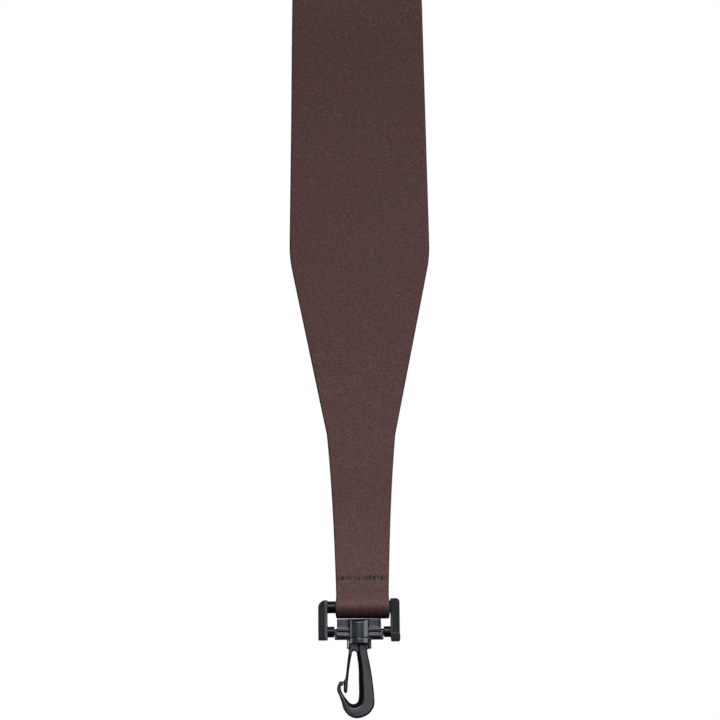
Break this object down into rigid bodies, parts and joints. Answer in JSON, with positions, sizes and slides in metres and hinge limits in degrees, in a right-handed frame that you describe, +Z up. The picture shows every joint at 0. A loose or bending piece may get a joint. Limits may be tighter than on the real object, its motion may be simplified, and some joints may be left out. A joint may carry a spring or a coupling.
{
  "type": "instrument neck strap",
  "caption": "Leather neck strap: a wide band in a loop with a webbing adjuster behind it, a stirrup buckle, and a swivel snap hook that takes an instrument's ring.",
  "frame": {"origin": "middle of the inside of the loop at its highest point, where the strap rests on the neck", "axes": "+X across the band, -Y towards the front leg, +Z up; the strap hangs as it is worn"},
  "size_m": [0.068, 0.1232, 0.457],
  "materials": {
    "leather": "matte fine grain",
    "suede": "suede",
    "webbing": "woven nylon",
    "thread": "waxed thread",
    "black_plastic": "moulded semi-gloss",
    "black_metal": "black coated"
  },
  "bodies": {
    "strap": {"leather_strap": "leather", "suede_backing": "suede", "front_seam_stitches": "thread", "back_seam_stitches": "thread", "strap_ring": "black_metal", "adjuster_web": "webbing", "web_free_run": "webbing"},
    "slide": {"web_slide": "black_plastic", "web_sewn_end": "webbing", "web_end_stitches": "thread"},
    "buckle": {"buckle_frame": "black_plastic"},
    "hub": {"swivel_hub": "black_plastic"},
    "hook": {"hook_body": "black_plastic"},
    "gate": {"hook_gate": "black_plastic"}
  },
  "joints": [
    {"name": "slide_travel", "type": "slide", "parent": "strap", "child": "slide", "axis": [0, 0.179, 0.9839], "range_m": [-0.022, 0.022], "deforming": ["web_free_run"]},
    {"name": "buckle_swing", "type": "hinge", "parent": "strap", "child": "buckle", "pos_m": [-0.0018, 0, -0.4], "axis": [1, 0, 0], "range_deg": [-80, 80]},
    {"name": "hub_tilt", "type": "hinge", "parent": "buckle", "child": "hub", "pos_m": [-0.0018, 0, -0.412], "axis": [1, 0, 0], "range_deg": [-45, 45]},
    {"name": "hook_swivel", "type": "hinge", "parent": "hub", "child": "hook", "pos_m": [-0.0018, 0, -0.412], "axis": [0, 0, 1], "continuous": true},
    {"name": "gate_flex", "type": "hinge", "parent": "hook", "child": "gate", "pos_m": [-0.0061, 0, -0.4222], "axis": [0, -1, 0], "range_deg": [0, 14], "stiffness_Nm_per_rad": 0.3, "springref_deg": -2.86}
  ]
}
